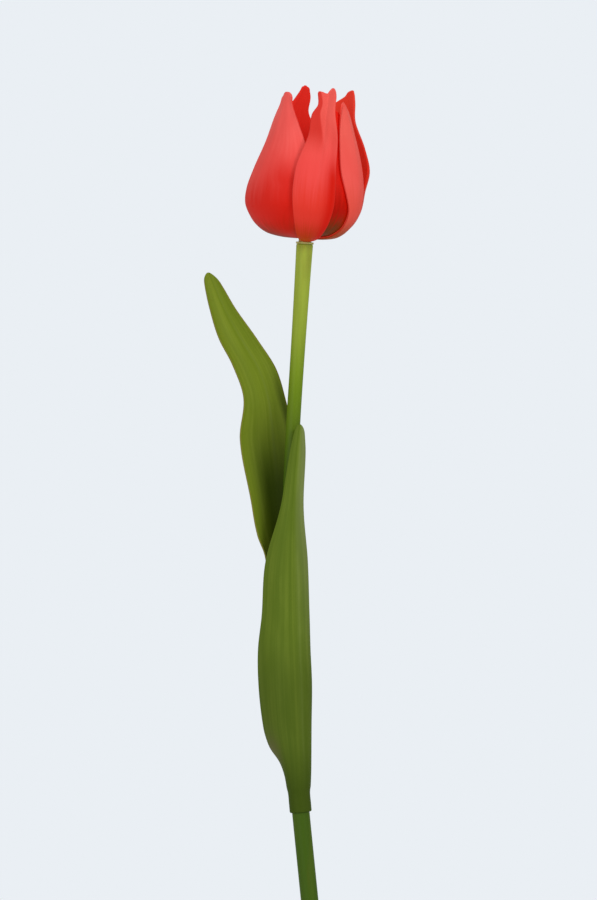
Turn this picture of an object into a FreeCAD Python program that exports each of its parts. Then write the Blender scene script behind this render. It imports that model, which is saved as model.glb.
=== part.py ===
import FreeCAD, Part
import math
import os
from collections import namedtuple

import Sketcher
from FreeCAD import Placement, Rotation, Vector

# One tulip on a curved stem with two sheathing leaves. +Z runs up the stem, +X is right, -Y the front.
# The origin is the centre of the cut foot. Lengths are in millimetres and angles in degrees.

SIZES = {
    "foot_length": 40.0,
    "foot_bend_radius": 400.0,
    "foot_lean_degrees": 5.77,
    "lower_length": 59.3,
    "bow_radius": 1089.0,
    "bow_turn_degrees": 9.47,
    "neck_length": 64.4,
    "stem_diameter": 7.3,
    "slender_diameter": 5.85,
    "stem_top_diameter": 7.0,
    "taper_length": 115.0,
    "wire_diameter": 2.0,
    "wire_clearance": 0.05,
    "wire_stop": 0.6,
    "peg_diameter": 3.2,
    "peg_length": 10.0,
    "peg_clearance": 0.05,
    "socket_room": 0.3,
    "seat_gap": 0.05,
    "flange_diameter": 7.7,
    "flange_height": 0.85,
    "root_diameter": 5.3,
    "cap_diameter": 7.5,
    "cap_height": 1.7,
    "cap_relief": 0.6,
    "head_radius": 25.5,
    "head_height": 64.0,
    "petal_thickness": 0.9,
    "whorl_gap": 0.3,
    "claw_gap": 0.12,
    "claw_width": 2.2,
    "notch_depth": 2.4,
    "notch_width": 6.6,
    "pistil_diameter": 3.2,
    "pistil_height": 17.0,
    "pistil_pin": 1.6,
    "stigma_reach": 2.5,
    "stigma_height": 1.8,
    "stamen_ring": 5.2,
    "stamen_lean_degrees": 17.0,
    "filament_diameter": 0.9,
    "filament_length": 9.0,
    "filament_depth": 1.3,
    "anther_diameter": 1.9,
    "anther_length": 7.0,
    "pin_clearance": 0.04,
    "sleeve_clearance": 0.1,
    "sleeve_wall": 0.85,
    "sleeve_length": 8.0,
    "leaf_thickness": 0.8,
    "lower_leaf_start": 147.0,
    "lower_leaf_length": 162.0,
    "upper_leaf_start": 190.0,
    "upper_leaf_length": 181.0,
    "leaf_reach": 10.0,
}

# Where a petal's middle line runs beyond its claw: distance from the head's axis as a share of the head
# radius, and height above the claw as a share of the head height.
PROFILE_SHARES = (
    (0.333, 0.002),
    (0.588, 0.022),
    (0.824, 0.091),
    (0.976, 0.203),
    (0.984, 0.336),
    (0.863, 0.484),
    (0.71, 0.648),
    (0.596, 0.805),
    (0.502, 0.906),
    (0.455, 0.953),
)

# How much of its reach, flare, swing from claw to belly and turn from belly to tip a petal has there.
WIDTH_SHARES = (0.33, 0.56, 0.8, 0.97, 1.0, 0.9, 0.73, 0.46, 0.2, 0.06)
FLARE_SHARES = (0.0, 0.0, 0.0, 0.0, 0.1, 0.8, 1.0, 0.9, 1.0, 1.0)
SWING_SHARES = (0.2, 0.5, 0.8, 1.0, 1.0, 1.0, 1.0, 1.0, 1.0, 1.0)
TURN_SHARES = (0.0, 0.0, 0.0, 0.0, 0.1, 0.3, 0.5, 0.75, 0.95, 1.0)

# Each petal: layer (0 outermost), azimuth at the claw, the belly and the tip (0 is the front, 90 the
# right), then shares of the head radius for girth, flare, reach to the left and right and reach at the
# tip, the height as a share of the head height, and how round the left and right halves are against the
# bulb.
Petal = namedtuple(
    "Petal", "layer azimuths girth_share flare_share reaches tip_share height_share round_shares"
)
PETALS = {
    "outer_petal_1": Petal(0, (5, 6, 25), 1.08, 0.02, (0.36, 0.36), 0.165, 1.06, (0.6, 0.6)),
    "outer_petal_2": Petal(1, (80, 56, 60), 1.08, 0.06, (0.35, 0.35), 0.02, 0.945, (0.6, 0.6)),
    "outer_petal_3": Petal(1, (-57, -57, -57), 1.064, 0.03, (0.784, 0.745), 0.075, 0.98, (1.0, 0.85)),
    "inner_petal_1": Petal(2, (33, 33, 28), 1.0, 0.0, (0.34, 0.34), 0.04, 0.9, (0.8, 0.8)),
    "inner_petal_2": Petal(2, (106, 106, 100), 1.0, 0.205, (0.43, 0.57), 0.05, 1.01, (0.9, 0.8)),
    "inner_petal_3": Petal(2, (-160, -160, -163), 1.0, 0.02, (0.7, 0.765), 0.06, 1.035, (1.0, 1.0)),
}
NOTCHED_PETAL = "outer_petal_1"
FLATTEST_SHARE = 2.4
Station = namedtuple("Station", "radius height tilt azimuth")

# Each leaf station: distance up the leaf as a share of its length, middle point to the right of and
# behind the stem's centre, then the cup radius and the spread on the side of falling and of rising
# azimuth. Lengths are shares of the leaf reach.
LOWER_LEAF_SHARES = (
    (0.06, (0.0, -0.5), (0.5, 136), (0.5, 136)),
    (0.1, (0.01, -0.54), (0.59, 124), (0.57, 130)),
    (0.135, (0.04, -0.57), (0.82, 96), (0.59, 122)),
    (0.176, (0.06, -0.59), (1.22, 72), (0.62, 112)),
    (0.325, (0.1, -0.62), (1.6, 62), (0.74, 102)),
    (0.51, (0.1, -0.64), (1.45, 60), (0.73, 98)),
    (0.647, (0.1, -0.64), (1.35, 55), (0.675, 92)),
    (0.789, (0.12, -0.64), (0.7, 47), (0.46, 80)),
    (0.928, (0.21, -0.67), (0.45, 43), (0.36, 58)),
    (1.0, (0.25, -0.68), (0.25, 22), (0.25, 22)),
)
UPPER_LEAF_SHARES = (
    (0.113, (0.0, 0.54), (0.56, 76), (0.56, 76)),
    (0.251, (-0.12, 0.62), (0.7, 59), (0.75, 60)),
    (0.354, (-0.28, 0.68), (1.0, 47), (0.95, 50)),
    (0.481, (-0.6, 0.78), (2.0, 30), (1.4, 45)),
    (0.619, (-1.0, 0.88), (2.4, 30), (1.7, 44)),
    (0.713, (-1.22, 0.94), (1.5, 36), (1.3, 43)),
    (0.787, (-1.74, 1.0), (1.4, 40), (1.2, 47)),
    (0.849, (-2.45, 1.04), (1.2, 42), (1.1, 46)),
    (0.917, (-3.17, 1.07), (0.9, 36), (0.9, 36)),
    (0.971, (-3.61, 1.1), (0.7, 27), (0.7, 27)),
    (1.0, (-3.82, 1.1), (0.5, 13), (0.5, 13)),
)

ROOT_SHARE = 0.15
ROOT_SPREAD = 140

# Shares that shape the small turned pieces.
SHOULDER_SHARE = 0.45
CROWN_SHARE = 0.7
WAIST_SHARE = 0.7
LOBE_SHARE = 1.2
ANTHER_END_SHARE = 0.6

FRONT = 0
RIGHT = 90
BACK = 180
LAYERS = 3
STAMENS = 6
STIGMA_LOBES = 3
TAPER_SECTIONS = 10

Y_AXIS = Vector(0, 1, 0)
Z_AXIS = Vector(0, 0, 1)

document = FreeCAD.newDocument("Tulip")
sheet = document.addObject("Spreadsheet::Sheet", "Sizes")


def fill_sheet():
    """Write every driving size into the sheet under its own name."""
    for row, (alias, value) in enumerate(SIZES.items(), start=1):
        sheet.set(f"A{row}", alias)
        sheet.set(f"B{row}", str(value))
        sheet.setAlias(f"B{row}", alias)
    document.recompute()


def size(alias):
    """Read one driving size back from the sheet."""
    return float(getattr(sheet, alias))


def turned(axis, degrees):
    return Placement(Vector(), Rotation(axis, degrees))


def moved(x, y, z):
    return Placement(Vector(x, y, z), Rotation())


def facing(azimuth):
    """Turn so that the x direction points out at this azimuth."""
    return turned(Z_AXIS, azimuth - RIGHT)


def spine_parts():
    """The stem's centre line from the foot up, as pairs of length and turn."""
    foot_arc = size("foot_bend_radius") * math.radians(size("foot_lean_degrees"))
    bow_arc = size("bow_radius") * math.radians(size("bow_turn_degrees"))
    return (
        (size("foot_length"), 0),
        (foot_arc, -size("foot_lean_degrees")),
        (size("lower_length"), 0),
        (bow_arc, size("bow_turn_degrees")),
        (size("neck_length"), 0),
    )


def spine_length():
    return sum(length for length, turn in spine_parts())


def bend_or_step(step, radius, turn):
    """One piece of the centre line: a turn about a centre at this radius, or a straight step."""
    if radius is None:
        return moved(0, 0, step)
    return moved(radius, 0, 0) * turned(Y_AXIS, turn) * moved(-radius, 0, 0)


def spine_frame(along):
    """The frame on the stem's centre line at this distance from the foot, with z up the stem."""
    frame = Placement()
    left = along
    for length, turn in spine_parts():
        step = min(left, length)
        radius = length / math.radians(turn) if turn else None
        frame = frame * bend_or_step(step, radius, step / length * turn)
        left -= step
        if left <= 0:
            break
    return frame


def neck_start():
    return spine_length() - size("neck_length")


def taper_start():
    return neck_start() - size("taper_length")


def stem_diameter(along):
    """Full below the taper, slender at the bow's end and widening again towards the top."""
    full = size("stem_diameter")
    slender = size("slender_diameter")
    if along <= taper_start():
        return full
    if along <= neck_start():
        share = (along - taper_start()) / size("taper_length")
        return full + (slender - full) * (1 - math.cos(math.pi * share)) / 2
    share = (along - neck_start()) / size("neck_length")
    return slender + (size("stem_top_diameter") - slender) * share**2


def new_body(label):
    body = document.addObject("PartDesign::Body", label)
    body.Label = label
    return body


def plane(body, role):
    return next(feature for feature in body.Origin.OriginFeatures if feature.Role == role)


def new_sketch(body, name, frame=None, role="XY_Plane"):
    """A sketch on one of the body's own planes, moved by a frame."""
    sketch = body.newObject("Sketcher::SketchObject", name)
    sketch.AttachmentSupport = [(plane(body, role), "")]
    sketch.MapMode = "FlatFace"
    if frame is not None:
        sketch.AttachmentOffset = frame
    return sketch


def constrain(sketch, name, alias, share, *target):
    """Add a size to the sketch and bind it to a share of a named size."""
    index = sketch.addConstraint(Sketcher.Constraint(*target, size(alias) * share))
    sketch.renameConstraint(index, name)
    sketch.setExpression(f"Constraints.{name}", f"Sizes.{alias} * {share:.6f}")


def circle_sketch(body, name, frame, alias, share):
    """A circle about the sketch's origin, its radius a share of a named size."""
    sketch = new_sketch(body, name, frame)
    sketch.addGeometry(Part.Circle(Vector(), Z_AXIS, size(alias) * share))
    sketch.addConstraint(Sketcher.Constraint("Coincident", 0, 3, -1, 1))
    constrain(sketch, "radius", alias, share, "Radius", 0)
    return sketch


def outline_sketch(body, name, points, frame=None, role="XY_Plane"):
    """A closed outline of straight lines through the points."""
    sketch = new_sketch(body, name, frame, role)
    count = len(points)
    for index, (x, y) in enumerate(points):
        to_x, to_y = points[(index + 1) % count]
        sketch.addGeometry(Part.LineSegment(Vector(x, y, 0), Vector(to_x, to_y, 0)))
    for index in range(count):
        after = (index + 1) % count
        sketch.addConstraint(Sketcher.Constraint("Coincident", index, 2, after, 1))
    for index, (x, y) in enumerate(points):
        sketch.addConstraint(Sketcher.Constraint("DistanceX", -1, 1, index, 1, x))
        sketch.addConstraint(Sketcher.Constraint("DistanceY", -1, 1, index, 1, y))
    return sketch


def crescent_sketch(body, name, frame, alias, wall_alias, left, right):
    """A thin curved strip. Its outer middle is the sketch's origin and it cups towards -x.

    left and right are each a cup radius in shares of the named size and a spread in degrees.
    """
    sketch = new_sketch(body, name, frame)
    wall = size(wall_alias)
    right_cup, right_spread = right[0] * size(alias), math.radians(right[1])
    left_cup, left_spread = left[0] * size(alias), math.radians(left[1])

    def arc(cup, radius, start, stop):
        circle = Part.Circle(Vector(-cup, 0, 0), Z_AXIS, radius)
        sketch.addGeometry(Part.ArcOfCircle(circle, start, stop))

    def rim(cup, angle):
        ends = []
        for radius in (cup, cup - wall):
            ends.append(Vector(radius * math.cos(angle) - cup, radius * math.sin(angle), 0))
        sketch.addGeometry(Part.LineSegment(*ends))

    arc(right_cup, right_cup, 0, right_spread)
    rim(right_cup, right_spread)
    arc(right_cup, right_cup - wall, 0, right_spread)
    arc(left_cup, left_cup - wall, -left_spread, 0)
    rim(left_cup, -left_spread)
    arc(left_cup, left_cup, -left_spread, 0)
    joins = (
        ("Coincident", 0, 1, -1, 1),
        ("Coincident", 5, 2, -1, 1),
        ("Coincident", 0, 2, 1, 1),
        ("Coincident", 1, 2, 2, 2),
        ("Coincident", 2, 1, 3, 2),
        ("Coincident", 3, 1, 4, 2),
        ("Coincident", 4, 1, 5, 1),
        ("Coincident", 0, 3, 2, 3),
        ("Coincident", 3, 3, 5, 3),
        ("PointOnObject", 0, 3, -1),
        ("PointOnObject", 5, 3, -1),
        ("PointOnObject", 2, 1, -1),
        ("PointOnObject", 0, 3, 1),
        ("PointOnObject", 5, 3, 4),
    )
    for join in joins:
        sketch.addConstraint(Sketcher.Constraint(*join))
    constrain(sketch, "right_cup", alias, right[0], "Radius", 0)
    constrain(sketch, "left_cup", alias, left[0], "Radius", 5)
    constrain(sketch, "wall", wall_alias, 1, "DistanceX", 2, 1, -1, 1)
    sketch.addConstraint(Sketcher.Constraint("Angle", 0, right_spread))
    sketch.addConstraint(Sketcher.Constraint("Angle", 5, left_spread))
    return sketch


def loft(body, name, sketches):
    feature = body.newObject("PartDesign::AdditiveLoft", name)
    feature.Profile = sketches[0]
    feature.Sections = sketches[1:]
    feature.Ruled = False
    return feature


def spine_sketch(body, name, end):
    """The stem's centre line from the foot to a distance along it, as smooth lines and arcs."""
    sketch = new_sketch(body, name, role="XZ_Plane")
    named = ("foot_length", "foot_bend_radius", "lower_length", "bow_radius", None)
    frame = Placement()
    left = end
    corner = None
    for index, (length, turn) in enumerate(spine_parts()):
        step = min(left, length)
        if step <= 0:
            break
        part = step / length * turn
        radius = length / math.radians(turn) if turn else None
        after = frame * bend_or_step(step, radius, part)
        if turn:
            centre = frame.multVec(Vector(radius, 0, 0))
            circle = Part.Circle(Vector(centre.x, centre.z, 0), Z_AXIS, abs(radius))
            ends = [circle.parameter(Vector(at.Base.x, at.Base.z, 0)) for at in (frame, after)]
            if turn > 0:
                ends.reverse()
            sketch.addGeometry(Part.ArcOfCircle(circle, *ends))
            sketch.addConstraint(Sketcher.Constraint("Angle", index, math.radians(abs(part))))
            constrain(sketch, named[index], named[index], 1, "Radius", index)
        else:
            start = Vector(frame.Base.x, frame.Base.z, 0)
            stop = Vector(after.Base.x, after.Base.z, 0)
            sketch.addGeometry(Part.LineSegment(start, stop))
            if step < length or named[index] is None:
                sketch.addConstraint(Sketcher.Constraint("Distance", index, step))
            else:
                constrain(sketch, named[index], named[index], 1, "Distance", index)
        start_point, stop_point = (2, 1) if turn > 0 else (1, 2)
        if corner is None:
            sketch.addConstraint(Sketcher.Constraint("Coincident", index, 1, -1, 1))
            sketch.addConstraint(Sketcher.Constraint("Vertical", index))
        else:
            sketch.addConstraint(Sketcher.Constraint("Tangent", index - 1, corner, index, start_point))
        corner = stop_point
        frame = after
        left -= step
    return sketch


def pipe(body, kind, name, profile, path):
    feature = body.newObject(kind, name)
    feature.Profile = profile
    feature.Spine = (path, [f"Edge{index + 1}" for index in range(len(path.Geometry))])
    return feature


def make_stem_tube():
    """The green stem: even up to the taper, then a slender neck, bored for the wire and the peg."""
    body = new_body("stem_tube")
    foot = circle_sketch(body, "foot_round", None, "stem_diameter", 0.5)
    lower_line = spine_sketch(body, "lower_line", taper_start())
    pipe(body, "PartDesign::AdditivePipe", "lower_run", foot, lower_line)
    sections = []
    run = spine_length() - taper_start()
    for index in range(TAPER_SECTIONS):
        along = taper_start() + run * index / (TAPER_SECTIONS - 1)
        share = stem_diameter(along) / size("stem_diameter") / 2
        sections.append(circle_sketch(body, f"round_{index}", spine_frame(along), "stem_diameter", share))
    loft(body, "neck_run", sections)
    bore_radius = size("wire_diameter") / 2 + size("wire_clearance")
    bore = circle_sketch(body, "bore_round", None, "wire_diameter", bore_radius / size("wire_diameter"))
    bore_line = spine_sketch(body, "bore_line", spine_length())
    pipe(body, "PartDesign::SubtractivePipe", "bore", bore, bore_line)
    socket = body.newObject("PartDesign::Pocket", "socket")
    share = 0.5 + size("peg_clearance") / size("peg_diameter")
    socket.Profile = circle_sketch(body, "socket_round", spine_frame(spine_length()), "peg_diameter", share)
    socket.Length = size("peg_length") + size("socket_room")
    socket.setExpression("Length", "Sizes.peg_length + Sizes.socket_room")
    return body


def make_stem_wire():
    """The wire core, from the cut foot to just under the peg."""
    body = new_body("stem_wire")
    top_cut = size("peg_length") + size("socket_room") + size("wire_stop")
    profile = circle_sketch(body, "wire_round", None, "wire_diameter", 0.5)
    line = spine_sketch(body, "wire_line", spine_length() - top_cut)
    pipe(body, "PartDesign::AdditivePipe", "wire", profile, line)
    return body


def head_frame():
    return spine_frame(spine_length())


def whorl_step():
    return size("petal_thickness") + size("whorl_gap")


def flange_top():
    return size("seat_gap") + size("flange_height")


def claw_rise():
    return flange_top() + size("claw_gap")


def cap_base():
    return claw_rise() + (LAYERS - 1) * whorl_step() + size("petal_thickness") + size("claw_gap")


def cap_top():
    return cap_base() + size("cap_height")


def stamen_frame(azimuth):
    """Where a stamen stands in the receptacle, leaning outwards."""
    ring = size("stamen_ring") / 2
    return facing(azimuth) * moved(ring, 0, cap_top()) * turned(Y_AXIS, size("stamen_lean_degrees"))


def full_turn(body, name, profile):
    feature = body.newObject("PartDesign::Revolution", name)
    feature.Profile = profile
    feature.ReferenceAxis = (profile, ["V_Axis"])
    feature.Angle = 360
    return feature


def repeat_round(body, name, feature, count):
    """Repeat a feature evenly round the body's own z axis."""
    pattern = body.newObject("PartDesign::PolarPattern", name)
    pattern.Originals = [feature]
    pattern.Axis = (plane(body, "Z_Axis"), [""])
    pattern.Angle = 360
    body.Tip = pattern
    pattern.Occurrences = count
    return pattern


def make_receptacle():
    """The hub: a peg for the stem's socket, a flange, a groove for the petal claws and a domed cap."""
    body = new_body("receptacle")
    peg = size("peg_diameter") / 2
    flange = size("flange_diameter") / 2
    root = size("root_diameter") / 2
    cap = size("cap_diameter") / 2
    points = (
        (0, -size("peg_length")),
        (peg, -size("peg_length")),
        (peg, size("seat_gap")),
        (flange, size("seat_gap")),
        (flange, flange_top()),
        (root, flange_top()),
        (root, cap_base()),
        (cap, cap_base() + size("cap_relief")),
        (cap, cap_base() + SHOULDER_SHARE * size("cap_height")),
        (CROWN_SHARE * cap, cap_top()),
        (0, cap_top()),
    )
    full_turn(body, "hub", outline_sketch(body, "hub_outline", points, role="XZ_Plane"))
    pistil_hole = body.newObject("PartDesign::Pocket", "pistil_hole")
    share = 0.5 + size("pin_clearance") / size("pistil_pin")
    pistil_hole.Profile = circle_sketch(body, "pistil_round", moved(0, 0, cap_top()), "pistil_pin", share)
    pistil_hole.Length = size("pistil_pin")
    pistil_hole.setExpression("Length", "Sizes.pistil_pin")
    body.Tip = pistil_hole
    share = 0.5 + size("pin_clearance") / size("filament_diameter")
    above = size("filament_diameter")
    hole_frame = stamen_frame(RIGHT) * moved(0, 0, above)
    stamen_hole = body.newObject("PartDesign::Pocket", "stamen_hole")
    stamen_hole.Profile = circle_sketch(body, "stamen_round", hole_frame, "filament_diameter", share)
    stamen_hole.Length = size("filament_depth") + above + size("pin_clearance")
    repeat_round(body, "stamen_holes", stamen_hole, STAMENS)
    body.Placement = head_frame()
    return body


def petal_line(label):
    """The petal's middle line, station by station, moved inwards by its layer."""
    petal = PETALS[label]
    claw, belly, tip = petal.azimuths
    inwards = petal.layer * whorl_step()
    outer = [(size("root_diameter") / 2 + size("claw_gap"), 0)]
    for (radius_share, height_share), flare_share in zip(PROFILE_SHARES, FLARE_SHARES):
        radius_share = radius_share * petal.girth_share + flare_share * petal.flare_share
        height_share *= petal.height_share
        outer.append((size("head_radius") * radius_share, size("head_height") * height_share))
    line = [Station(outer[0][0], inwards, math.pi / 2, claw)]
    for index, (swing_share, turn_share) in enumerate(zip(SWING_SHARES, TURN_SHARES), start=1):
        radius, height = outer[index]
        before = outer[index - 1]
        after = outer[min(index + 1, len(outer) - 1)]
        tilt = math.atan2(after[0] - before[0], after[1] - before[1])
        radius -= inwards * math.cos(tilt)
        height += inwards * math.sin(tilt)
        azimuth = claw + (belly - claw) * swing_share + (tip - belly) * turn_share
        line.append(Station(radius, height, tilt, azimuth))
    return line


def petal_place(at):
    """The frame of a station on a petal's middle line, with x pointing out."""
    return facing(at.azimuth) * moved(at.radius, 0, claw_rise() + at.height)


def make_petal(label):
    """A cupped petal: crescent sections across its middle line, from a flat claw to the tip."""
    petal = PETALS[label]
    body = new_body(label)
    head = size("head_radius")
    sections = []
    for index, at in enumerate(petal_line(label)):
        frame = petal_place(at) * turned(Y_AXIS, math.degrees(at.tilt))
        bulb = at.radius / max(math.cos(at.tilt), at.radius / (FLATTEST_SHARE * head))
        halves = []
        for reach_share, round_share in zip(petal.reaches, petal.round_shares):
            if index == 0:
                half_width = size("claw_width") / 2
            else:
                half_width = head * reach_share * WIDTH_SHARES[index - 1]
            if index > len(PROFILE_SHARES) // 2:
                half_width = max(half_width, head * petal.tip_share)
            cup = bulb * round_share
            halves.append((cup / head, math.degrees(math.asin(half_width / cup))))
        rib = crescent_sketch(body, f"rib_{index}", frame, "head_radius", "petal_thickness", *halves)
        sections.append(rib)
    loft(body, "shell", sections)
    return body


def notch_tip(body, label):
    """Cut a V into the tip, which leaves two lobes."""
    wide = size("notch_width")
    deep = size("notch_depth")
    points = ((-wide, deep), (0, -deep), (wide, deep))
    frame = petal_place(petal_line(label)[-1]) * turned(Y_AXIS, 90) * turned(Z_AXIS, 90)
    notch = body.newObject("PartDesign::Pocket", "notch")
    notch.Profile = outline_sketch(body, "notch_outline", points, frame)
    notch.Midplane = True
    notch.Length = size("notch_width")
    notch.setExpression("Length", "Sizes.notch_width")


def make_pistil():
    """The green centre: a pin, a round column and a stigma of three lobes."""
    body = new_body("pistil")
    pin = size("pistil_pin") / 2
    column = size("pistil_diameter") / 2
    tall = size("pistil_height")
    depth = size("pistil_pin") - size("pin_clearance")
    points = (
        (0, -depth),
        (pin, -depth),
        (pin, 0),
        (column * WAIST_SHARE, 0),
        (column, tall / 3),
        (column, tall / 2),
        (column * WAIST_SHARE, tall),
        (0, tall),
    )
    full_turn(body, "column", outline_sketch(body, "column_outline", points, role="XZ_Plane"))
    half = column * WAIST_SHARE / 2
    reach = size("stigma_reach")
    lobe_sketch = new_sketch(body, "lobe_outline", moved(0, 0, tall - size("stigma_height")))
    lobe_sketch.addGeometry(Part.LineSegment(Vector(0, -half, 0), Vector(reach - half, -half, 0)))
    end = Part.Circle(Vector(reach - half, 0, 0), Z_AXIS, half)
    lobe_sketch.addGeometry(Part.ArcOfCircle(end, -math.pi / 2, math.pi / 2))
    lobe_sketch.addGeometry(Part.LineSegment(Vector(reach - half, half, 0), Vector(0, half, 0)))
    lobe_sketch.addGeometry(Part.LineSegment(Vector(0, half, 0), Vector(0, -half, 0)))
    for index in range(4):
        lobe_sketch.addConstraint(Sketcher.Constraint("Coincident", index, 2, (index + 1) % 4, 1))
    lobe = body.newObject("PartDesign::Pad", "lobe")
    lobe.Profile = lobe_sketch
    lobe.Length = size("stigma_height") * LOBE_SHARE
    lobe.setExpression("Length", f"Sizes.stigma_height * {LOBE_SHARE}")
    body.Tip = lobe
    repeat_round(body, "lobes", lobe, STIGMA_LOBES)
    body.Placement = head_frame() * moved(0, 0, cap_top())
    return body


def make_stamen(index):
    """A thin filament with a plump anther at its end."""
    body = new_body(f"stamen_{index + 1}")
    thread = size("filament_diameter") / 2
    anther = size("anther_diameter") / 2
    start = size("filament_length")
    stop = start + size("anther_length")
    round_off = anther * ANTHER_END_SHARE
    points = (
        (0, -size("filament_depth")),
        (thread, -size("filament_depth")),
        (thread, start),
        (anther - round_off / 2, start),
        (anther, start + round_off),
        (anther, stop - round_off),
        (anther - round_off, stop),
        (0, stop),
    )
    full_turn(body, "rod", outline_sketch(body, "rod_outline", points, role="XZ_Plane"))
    body.Placement = head_frame() * stamen_frame(RIGHT + 360 * index / STAMENS)
    return body


def make_leaf(label, start, length, side, stations):
    """A leaf: a closed sleeve round the stem and a cupped blade that follows the stem upwards."""
    body = new_body(label)
    sleeve_frame = spine_frame(start)
    inner = stem_diameter(start) / 2 + size("sleeve_clearance")
    outer = inner + size("sleeve_wall")
    reach = size("leaf_reach")
    sleeve = body.newObject("PartDesign::Pad", "sleeve")
    ring = circle_sketch(body, "sleeve_round", None, "stem_diameter", outer / size("stem_diameter"))
    ring.addGeometry(Part.Circle(Vector(), Z_AXIS, inner))
    ring.addConstraint(Sketcher.Constraint("Coincident", 1, 3, -1, 1))
    constrain(ring, "inside", "stem_diameter", inner / size("stem_diameter"), "Radius", 1)
    sleeve.Profile = ring
    sleeve.Length = size("sleeve_length")
    sleeve.setExpression("Length", "Sizes.sleeve_length")
    root_depth = size("sleeve_length") * ROOT_SHARE
    root_cup = inner + (size("sleeve_wall") + size("leaf_thickness")) / 2
    root_frame = moved(0, 0, size("sleeve_length") - root_depth) * facing(side) * moved(root_cup, 0, 0)
    half = (root_cup / reach, ROOT_SPREAD)
    sections = [crescent_sketch(body, "root", root_frame, "leaf_reach", "leaf_thickness", half, half)]
    for index, (share, middle, falling, rising) in enumerate(stations):
        along = start + share * length
        across, behind = middle
        local = spine_frame(along) * moved(across * reach, behind * reach, 0) * facing(side)
        frame = sleeve_frame.inverse() * local
        rib = crescent_sketch(body, f"rib_{index}", frame, "leaf_reach", "leaf_thickness", falling, rising)
        sections.append(rib)
    loft(body, "blade", sections)
    body.Placement = sleeve_frame
    return body


def make_all():
    bodies = [make_stem_tube(), make_stem_wire(), make_receptacle()]
    for label in PETALS:
        petal = make_petal(label)
        if label == NOTCHED_PETAL:
            notch_tip(petal, label)
        petal.Placement = head_frame()
        bodies.append(petal)
    bodies.append(make_pistil())
    bodies += [make_stamen(index) for index in range(STAMENS)]
    lower = (size("lower_leaf_start"), size("lower_leaf_length"), FRONT, LOWER_LEAF_SHARES)
    upper = (size("upper_leaf_start"), size("upper_leaf_length"), BACK, UPPER_LEAF_SHARES)
    bodies.append(make_leaf("lower_leaf", *lower))
    bodies.append(make_leaf("upper_leaf", *upper))
    return bodies


def check(bodies):
    """Stop when an object failed or a body holds no single valid solid."""
    for item in document.Objects:
        for state in ("Invalid", "Error"):
            if state in item.State:
                raise RuntimeError(f"{item.Label} is {state}")
    for body in bodies:
        shape = body.Shape
        if shape.isNull() or not shape.isValid() or len(shape.Solids) != 1:
            raise RuntimeError(f"{body.Label} isn't one valid solid")


fill_sheet()
made = make_all()
document.recompute()
check(made)
os.makedirs("parts", exist_ok=True)
for body in made:
    body.Shape.exportStep(f"parts/{body.Label}.step")
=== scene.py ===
import math
from bisect import bisect_right
from collections import namedtuple

import bpy
from mathutils import Matrix, Vector


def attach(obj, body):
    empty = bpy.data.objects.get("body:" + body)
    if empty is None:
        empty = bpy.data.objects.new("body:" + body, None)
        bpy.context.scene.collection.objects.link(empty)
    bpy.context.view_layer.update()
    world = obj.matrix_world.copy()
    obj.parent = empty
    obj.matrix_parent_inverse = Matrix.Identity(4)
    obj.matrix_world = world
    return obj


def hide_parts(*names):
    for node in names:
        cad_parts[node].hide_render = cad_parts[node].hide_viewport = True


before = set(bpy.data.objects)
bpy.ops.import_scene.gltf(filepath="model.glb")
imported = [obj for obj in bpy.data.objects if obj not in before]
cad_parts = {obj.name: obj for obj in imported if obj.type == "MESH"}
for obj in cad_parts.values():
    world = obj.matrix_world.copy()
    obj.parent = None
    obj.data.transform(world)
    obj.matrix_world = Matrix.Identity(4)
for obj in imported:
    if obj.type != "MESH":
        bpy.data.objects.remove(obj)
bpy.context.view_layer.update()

# One tulip on a curved stem with two sheathing leaves. +Z runs up the stem, +X is right, -Y the front.
# The origin is the centre of the cut foot. Lengths are in metres, azimuths and spreads in degrees.
MM = 0.001

# The stem's centre line from the foot up, as pairs of length and turn. A positive turn is to the right.
FOOT_LENGTH = 40 * MM
FOOT_BEND_RADIUS = 400 * MM
FOOT_TURN = math.radians(-5.77)
LOWER_LENGTH = 59.3 * MM
BOW_RADIUS = 1089 * MM
BOW_TURN = math.radians(9.47)
NECK_LENGTH = 64.4 * MM
SPINE = (
    (FOOT_LENGTH, 0),
    (FOOT_BEND_RADIUS * -FOOT_TURN, FOOT_TURN),
    (LOWER_LENGTH, 0),
    (BOW_RADIUS * BOW_TURN, BOW_TURN),
    (NECK_LENGTH, 0),
)
SPINE_LENGTH = sum(length for length, turn in SPINE)
TAPER_LENGTH = 115 * MM
STEM_RADIUS = 3.65 * MM
SLENDER_RADIUS = 2.925 * MM
TOP_RADIUS = 3.5 * MM
WIRE_BORE_RADIUS = 1.05 * MM
SOCKET_RADIUS = 1.65 * MM
SOCKET_DEPTH = 10.3 * MM
STEM_EDGE = 0.35 * MM
STEM_ROUNDING = 0.12 * MM
STEM_SIDES = 48
STEM_STEPS = 120

# The hub of the head, from the stem's top up.
SEAT_GAP = 0.05 * MM
FLANGE_RADIUS = 3.7 * MM
FLANGE_HEIGHT = 0.85 * MM
ROOT_RADIUS = 2.65 * MM
CLAW_GAP = 0.12 * MM
CAP_RADIUS = 3.75 * MM
CAP_HEIGHT = 1.7 * MM
CAP_RELIEF = 0.6 * MM
CAP_BAND = 0.3 * MM
CAP_BAND_SHARE = 0.97
CAP_TOP_SHARE = 0.7
PEG_RADIUS = 1.6 * MM
PEG_LENGTH = 10 * MM
PEG_CHAMFER = 0.3 * MM
PEG_TIP_SHARE = 0.8
HUB_ROUNDING = 0.15 * MM
HUB_SIDES = 48

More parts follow.
